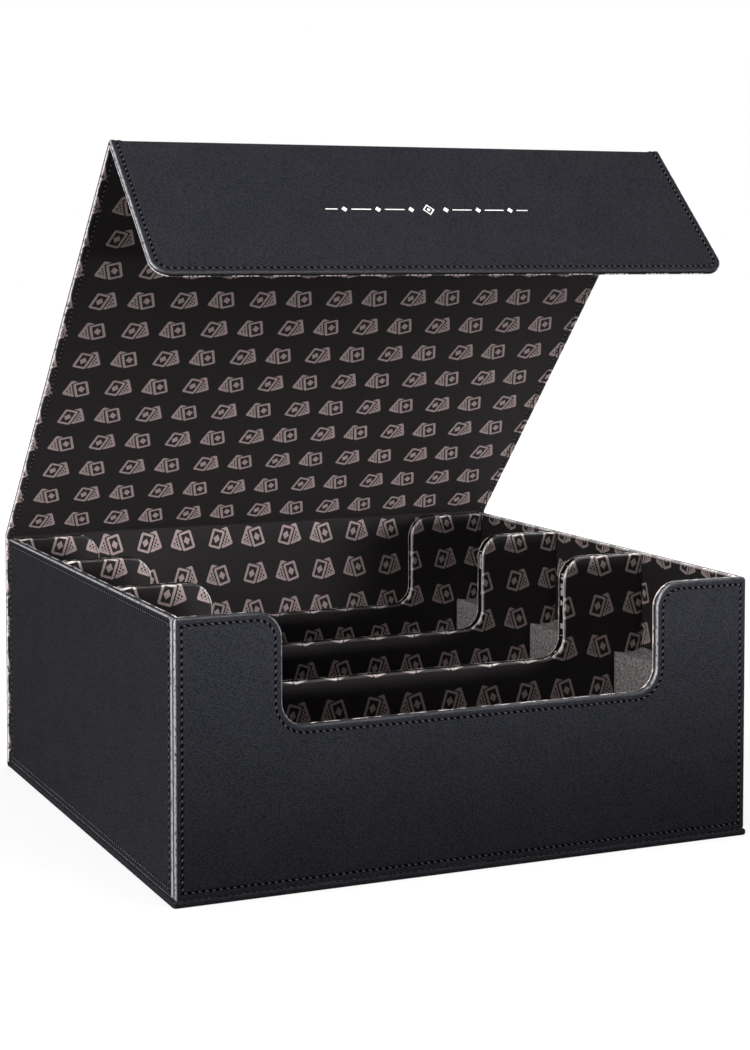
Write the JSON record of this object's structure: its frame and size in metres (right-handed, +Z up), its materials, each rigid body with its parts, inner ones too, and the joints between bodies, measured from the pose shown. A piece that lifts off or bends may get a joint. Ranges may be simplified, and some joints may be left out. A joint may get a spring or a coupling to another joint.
{
  "type": "trading card storage box",
  "caption": "Wide leatherette box with rows for sleeved trading cards behind cut-out panels, sliding foam spacers, and a hinged lid whose front flap closes magnetically.",
  "frame": {"origin": "on the table, under the middle of the whole box as it stands with its lid open", "axes": "+Z up, +X to the box's right seen from its front, +Y from the front panel to the hinged back"},
  "size_m": [0.2904, 0.2818, 0.3317],
  "materials": {
    "leatherette": "satin",
    "printed_lining": "satin",
    "greyboard": "matte",
    "foam": "matte",
    "magnet": "satin",
    "steel_plate": "satin"
  },
  "bodies": {
    "case": {"cover_base_board": "greyboard", "cover_base_skin": "leatherette", "base_fold_strip": "leatherette", "cover_back_board": "greyboard", "cover_back_skin": "leatherette", "cover_back_lining": "printed_lining", "front_board": "greyboard", "front_skin": "leatherette", "front_lining": "printed_lining", "closure_plates": "steel_plate", "left_wall_board": "greyboard", "left_wall_skin": "leatherette", "left_wall_lining": "printed_lining", "right_wall_board": "greyboard", "right_wall_skin": "leatherette", "right_wall_lining": "printed_lining", "tray_back_board": "greyboard", "tray_back_lining": "printed_lining", "floor_board": "greyboard", "floor_lining": "printed_lining", "front_divider_board": "greyboard", "front_divider_lining": "printed_lining", "rear_divider_board": "greyboard", "rear_divider_lining": "printed_lining"},
    "lid": {"lid_board": "greyboard", "lid_skin": "leatherette", "lid_lining": "printed_lining", "lid_hinge_strip": "leatherette", "flap_fold_strip": "leatherette"},
    "flap": {"flap_board": "greyboard", "flap_skin": "leatherette", "flap_lining": "printed_lining", "flap_magnets": "magnet"},
    "front_spacer": {"front_spacer_block": "foam"},
    "middle_spacer": {"middle_spacer_block": "foam"},
    "rear_spacer": {"rear_spacer_block": "foam"}
  },
  "joints": [
    {"name": "lid_hinge", "type": "hinge", "parent": "case", "child": "lid", "pos_m": [0, 0.13955, 0.1267], "axis": [-1, 0, 0], "range_deg": [-46.3, 133.7]},
    {"name": "flap_fold", "type": "hinge", "parent": "lid", "child": "flap", "pos_m": [0, -0.055, 0.33029], "axis": [-1, 0, 0], "range_deg": [0, 90]},
    {"name": "front_spacer_slide", "type": "slide", "parent": "case", "child": "front_spacer", "axis": [-1, 0, 0], "range_m": [0, 0.263]},
    {"name": "middle_spacer_slide", "type": "slide", "parent": "case", "child": "middle_spacer", "axis": [-1, 0, 0], "range_m": [0, 0.263]},
    {"name": "rear_spacer_slide", "type": "slide", "parent": "case", "child": "rear_spacer", "axis": [-1, 0, 0], "range_m": [0, 0.263]}
  ]
}
